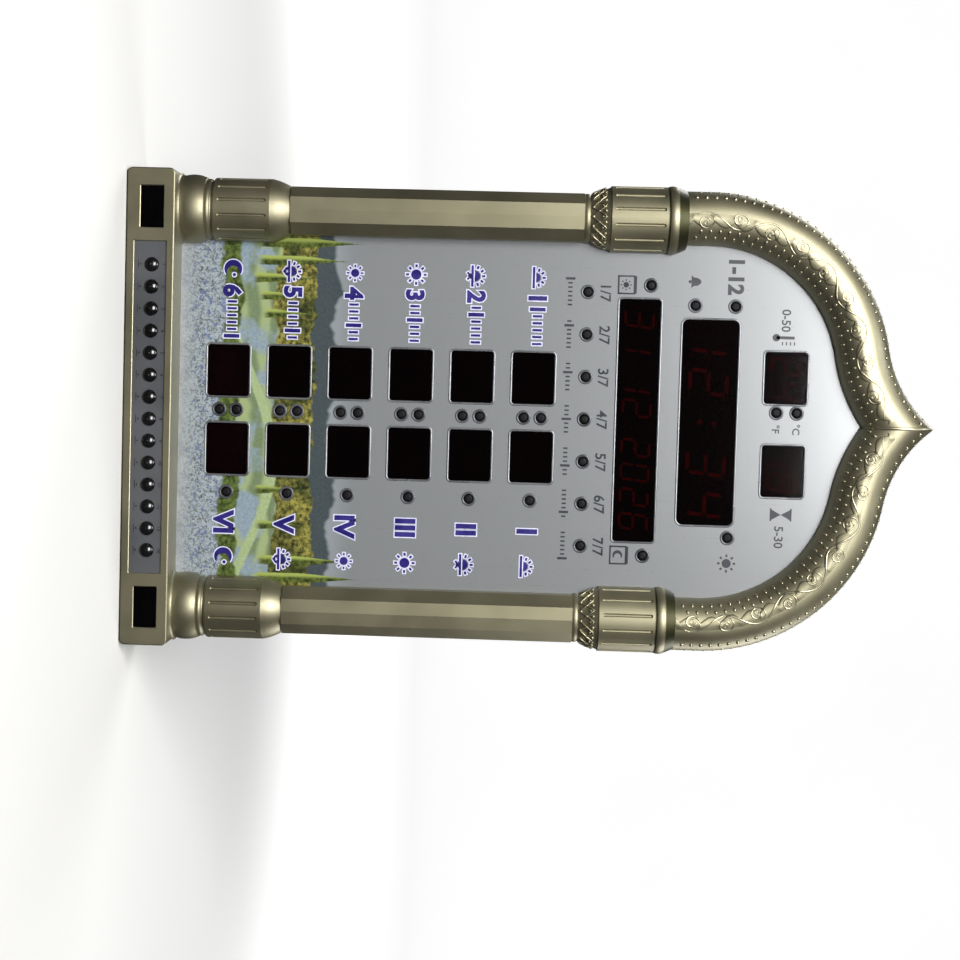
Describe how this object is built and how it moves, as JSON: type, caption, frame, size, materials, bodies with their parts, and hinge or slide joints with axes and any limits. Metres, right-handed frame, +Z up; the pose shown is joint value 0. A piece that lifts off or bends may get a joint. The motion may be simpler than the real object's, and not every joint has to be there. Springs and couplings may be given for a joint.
{
  "type": "azan clock",
  "caption": "Upright prayer-time clock: gold columns and ogee arch around a silver face with LED displays, and a row of push buttons along the base.",
  "frame": {"origin": "under the middle of the base, on the surface it stands on", "axes": "+X to the reader's right, +Y from the reader towards the back cover, +Z up"},
  "size_m": [0.239, 0.0492, 0.4057],
  "materials": {
    "gold_plastic": "champagne gold vacuum-plated plastic, satin gloss",
    "silver_plastic": "silver grey painted plastic, satin",
    "strip_plastic": "grey printed plastic, matt",
    "dark_filter": "dark smoke red filter, glossy",
    "display_body": "black display housing",
    "lamp_lens": "dark tinted lens",
    "circuit_board": "green solder mask",
    "chip_plastic": "black moulded plastic",
    "metal_can": "bright nickel",
    "capacitor_sleeve": "dark blue sleeve",
    "button_black": "glossy black plastic",
    "cover_plastic": "black textured plastic",
    "speaker_steel": "zinc-plated steel",
    "paper_cone": "black paper cone",
    "cable_grey": "grey insulation",
    "cable_red": "red and black insulation",
    "screw_steel": "zinc-plated steel"
  },
  "bodies": {
    "case": {"base_shell": "gold_plastic", "column_left": "gold_plastic", "column_right": "gold_plastic", "arch_left": "gold_plastic", "arch_right": "gold_plastic", "face_panel": "silver_plastic", "button_strip": "strip_plastic", "filter_time": "dark_filter", "filter_date": "dark_filter", "filter_temperature": "dark_filter", "filter_iqamah": "dark_filter", "filters_prayer": "dark_filter", "end_window_left": "dark_filter", "end_window_right": "dark_filter", "display_time": "display_body", "displays_date": "display_body", "display_temperature": "display_body", "display_iqamah": "display_body", "displays_prayer_left": "display_body", "displays_prayer_right": "display_body", "lamps_weekday": "lamp_lens", "lamps_colon": "lamp_lens", "lamps_prayer": "lamp_lens", "lamps_info": "lamp_lens", "main_board": "circuit_board", "button_board": "circuit_board", "controller_chip": "chip_plastic", "driver_chips": "chip_plastic", "sound_chips": "chip_plastic", "board_headers": "chip_plastic", "button_switches": "chip_plastic", "coin_cell_holder": "chip_plastic", "power_inlet": "chip_plastic", "infrared_receiver": "chip_plastic", "crystal": "metal_can", "coin_cell": "metal_can", "light_sensor": "metal_can", "capacitors": "capacitor_sleeve", "back_cover": "cover_plastic", "speaker_basket": "speaker_steel", "speaker_cone": "paper_cone", "ribbon_cable": "cable_grey", "power_lead": "cable_red", "speaker_lead": "cable_red", "cover_screws": "screw_steel", "small_screws": "screw_steel"},
    "button_01_cap": {"button_01": "button_black"},
    "button_02_cap": {"button_02": "button_black"},
    "button_03_cap": {"button_03": "button_black"},
    "button_04_cap": {"button_04": "button_black"},
    "button_05_cap": {"button_05": "button_black"},
    "button_06_cap": {"button_06": "button_black"},
    "button_07_cap": {"button_07": "button_black"},
    "button_08_cap": {"button_08": "button_black"},
    "button_09_cap": {"button_09": "button_black"},
    "button_10_cap": {"button_10": "button_black"},
    "button_11_cap": {"button_11": "button_black"},
    "button_12_cap": {"button_12": "button_black"},
    "button_13_cap": {"button_13": "button_black"},
    "button_14_cap": {"button_14": "button_black"}
  },
  "joints": [
    {"name": "push_button_01", "type": "slide", "parent": "case", "child": "button_01_cap", "axis": [0, 1, 0], "range_m": [0, 0.0007], "stiffness_N_per_m": 1500, "springref_m": -0.0003},
    {"name": "push_button_02", "type": "slide", "parent": "case", "child": "button_02_cap", "axis": [0, 1, 0], "range_m": [0, 0.0007], "stiffness_N_per_m": 1500, "springref_m": -0.0003},
    {"name": "push_button_03", "type": "slide", "parent": "case", "child": "button_03_cap", "axis": [0, 1, 0], "range_m": [0, 0.0007], "stiffness_N_per_m": 1500, "springref_m": -0.0003},
    {"name": "push_button_04", "type": "slide", "parent": "case", "child": "button_04_cap", "axis": [0, 1, 0], "range_m": [0, 0.0007], "stiffness_N_per_m": 1500, "springref_m": -0.0003},
    {"name": "push_button_05", "type": "slide", "parent": "case", "child": "button_05_cap", "axis": [0, 1, 0], "range_m": [0, 0.0007], "stiffness_N_per_m": 1500, "springref_m": -0.0003},
    {"name": "push_button_06", "type": "slide", "parent": "case", "child": "button_06_cap", "axis": [0, 1, 0], "range_m": [0, 0.0007], "stiffness_N_per_m": 1500, "springref_m": -0.0003},
    {"name": "push_button_07", "type": "slide", "parent": "case", "child": "button_07_cap", "axis": [0, 1, 0], "range_m": [0, 0.0007], "stiffness_N_per_m": 1500, "springref_m": -0.0003},
    {"name": "push_button_08", "type": "slide", "parent": "case", "child": "button_08_cap", "axis": [0, 1, 0], "range_m": [0, 0.0007], "stiffness_N_per_m": 1500, "springref_m": -0.0003},
    {"name": "push_button_09", "type": "slide", "parent": "case", "child": "button_09_cap", "axis": [0, 1, 0], "range_m": [0, 0.0007], "stiffness_N_per_m": 1500, "springref_m": -0.0003},
    {"name": "push_button_10", "type": "slide", "parent": "case", "child": "button_10_cap", "axis": [0, 1, 0], "range_m": [0, 0.0007], "stiffness_N_per_m": 1500, "springref_m": -0.0003},
    {"name": "push_button_11", "type": "slide", "parent": "case", "child": "button_11_cap", "axis": [0, 1, 0], "range_m": [0, 0.0007], "stiffness_N_per_m": 1500, "springref_m": -0.0003},
    {"name": "push_button_12", "type": "slide", "parent": "case", "child": "button_12_cap", "axis": [0, 1, 0], "range_m": [0, 0.0007], "stiffness_N_per_m": 1500, "springref_m": -0.0003},
    {"name": "push_button_13", "type": "slide", "parent": "case", "child": "button_13_cap", "axis": [0, 1, 0], "range_m": [0, 0.0007], "stiffness_N_per_m": 1500, "springref_m": -0.0003},
    {"name": "push_button_14", "type": "slide", "parent": "case", "child": "button_14_cap", "axis": [0, 1, 0], "range_m": [0, 0.0007], "stiffness_N_per_m": 1500, "springref_m": -0.0003}
  ]
}
